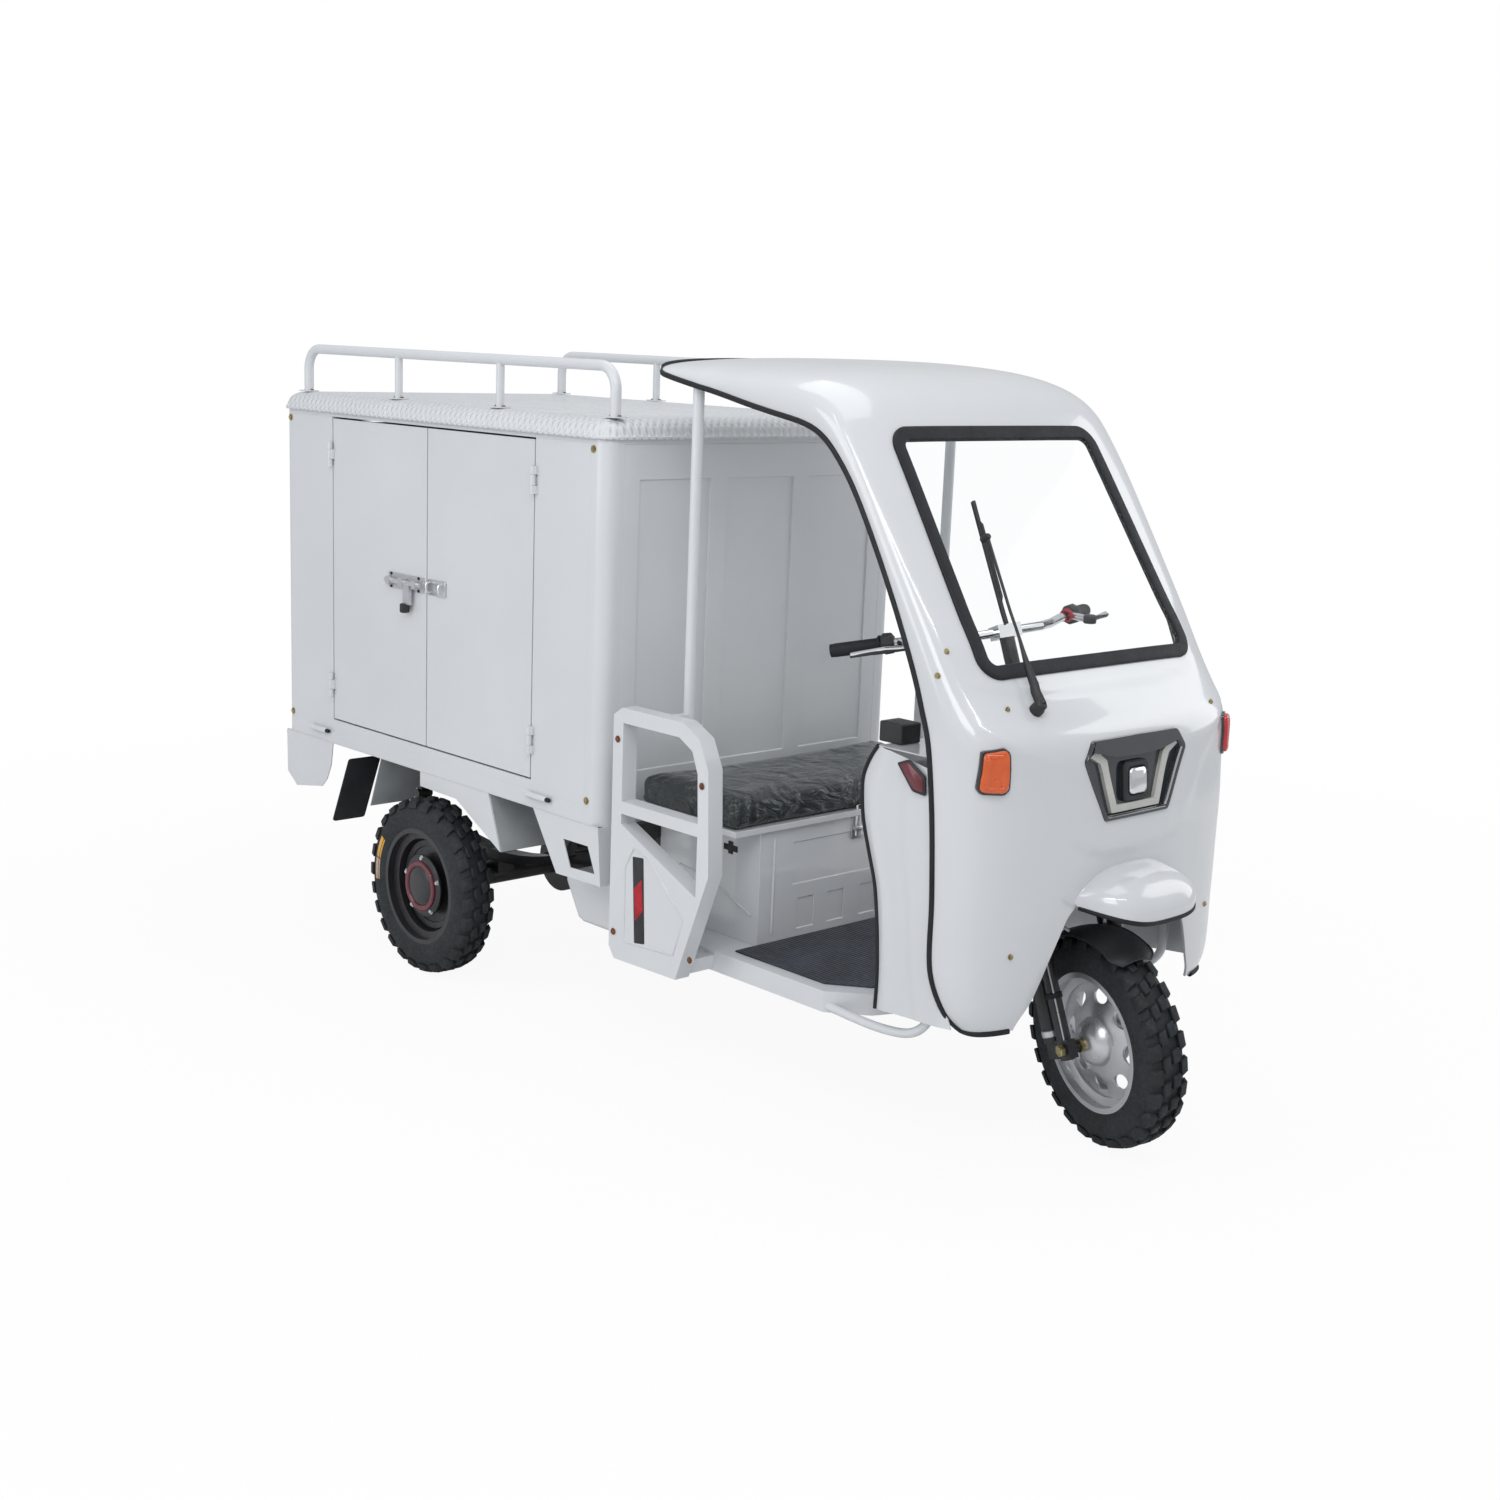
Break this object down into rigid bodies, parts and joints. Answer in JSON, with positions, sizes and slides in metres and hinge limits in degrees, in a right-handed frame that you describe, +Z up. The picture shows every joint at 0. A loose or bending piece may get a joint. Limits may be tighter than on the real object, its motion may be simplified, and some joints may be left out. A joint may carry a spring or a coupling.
{
  "type": "enclosed electric cargo tricycle",
  "caption": "Enclosed electric cargo tricycle: moulded cowl with windscreen, open-sided cab with a bench seat, handlebar steering and a closed load box with hinged doors.",
  "frame": {"origin": "on the ground below the middle of the bounding box", "axes": "+X forward along the length, +Y to the rider's left, +Z up"},
  "size_m": [3.1012, 1.172, 1.79],
  "materials": {
    "cowl_white": "gloss",
    "box_white": "satin",
    "black_steel": "satin",
    "silver_steel": "satin",
    "chrome": "polished",
    "black_rubber": "matte",
    "tyre": "matte",
    "black_plastic": "matte",
    "lamp": "gloss",
    "amber": "gloss",
    "red_lens": "gloss",
    "vinyl": "satin",
    "mat": "matte",
    "glass": "clear",
    "arch_grey": "matte"
  },
  "bodies": {
    "chassis": {"frame": "black_steel", "rear_axle": "black_steel", "leaf_springs": "black_steel", "floor_pan": "box_white", "floor_mat": "mat", "battery_box": "box_white", "seat_box": "cowl_white", "seat_cushion": "vinyl", "side_guard_right": "box_white", "side_guard_left": "box_white", "cowl": "cowl_white", "cowl_seals": "black_rubber", "windscreen": "glass", "wiper": "black_plastic", "headlamp": "lamp", "indicators": "amber", "leg_shield": "cowl_white", "control_box": "black_plastic", "nose_fender": "cowl_white", "box_base": "box_white", "box_frame": "box_white", "box_front_wall": "box_white", "box_left_wall": "box_white", "box_right_wall": "box_white", "box_roof": "box_white", "roof_rack": "box_white", "side_skirts": "box_white", "wheel_arches": "arch_grey", "tail_lamps": "red_lens"},
    "steering": {"fork": "black_steel", "front_mudguard": "black_plastic", "handlebar": "chrome", "grips": "black_rubber"},
    "front_wheel": {"front_rim": "silver_steel", "front_tyre": "tyre"},
    "rear_wheel_right": {"rear_rim_right": "black_steel", "rear_tyre_right": "tyre"},
    "rear_wheel_left": {"rear_rim_left": "black_steel", "rear_tyre_left": "tyre"},
    "side_door_front": {"side_door_front": "box_white"},
    "side_door_rear": {"side_door_rear": "box_white", "side_bolt": "silver_steel"},
    "tail_door_right": {"tail_door_right": "box_white"},
    "tail_door_left": {"tail_door_left": "box_white", "tail_bolt": "silver_steel"}
  },
  "joints": [
    {"name": "steer", "type": "hinge", "parent": "chassis", "child": "steering", "pos_m": [1.25716, 0, 0.25758], "axis": [-0.3584, 0, 0.9336], "range_deg": [-23, 57]},
    {"name": "front_wheel_spin", "type": "hinge", "parent": "steering", "child": "front_wheel", "pos_m": [1.29563, -0.01092, 0.25699], "axis": [0.273, 0.9563, 0.1048], "continuous": true},
    {"name": "rear_wheel_right_spin", "type": "hinge", "parent": "chassis", "child": "rear_wheel_right", "pos_m": [-0.72484, -0.535, 0.255], "axis": [0, 1, 0], "continuous": true},
    {"name": "rear_wheel_left_spin", "type": "hinge", "parent": "chassis", "child": "rear_wheel_left", "pos_m": [-0.72484, 0.535, 0.255], "axis": [0, 1, 0], "continuous": true},
    {"name": "side_door_front_swing", "type": "hinge", "parent": "chassis", "child": "side_door_front", "pos_m": [-0.25784, -0.541, 1.1], "axis": [0, 0, 1], "range_deg": [0, 110]},
    {"name": "side_door_rear_swing", "type": "hinge", "parent": "chassis", "child": "side_door_rear", "pos_m": [-1.25785, -0.541, 1.1], "axis": [0, 0, -1], "range_deg": [0, 110]},
    {"name": "tail_door_right_swing", "type": "hinge", "parent": "chassis", "child": "tail_door_right", "pos_m": [-1.54485, -0.472, 1.1], "axis": [0, 0, 1], "range_deg": [0, 110]},
    {"name": "tail_door_left_swing", "type": "hinge", "parent": "chassis", "child": "tail_door_left", "pos_m": [-1.54485, 0.472, 1.1], "axis": [0, 0, -1], "range_deg": [0, 110]}
  ]
}
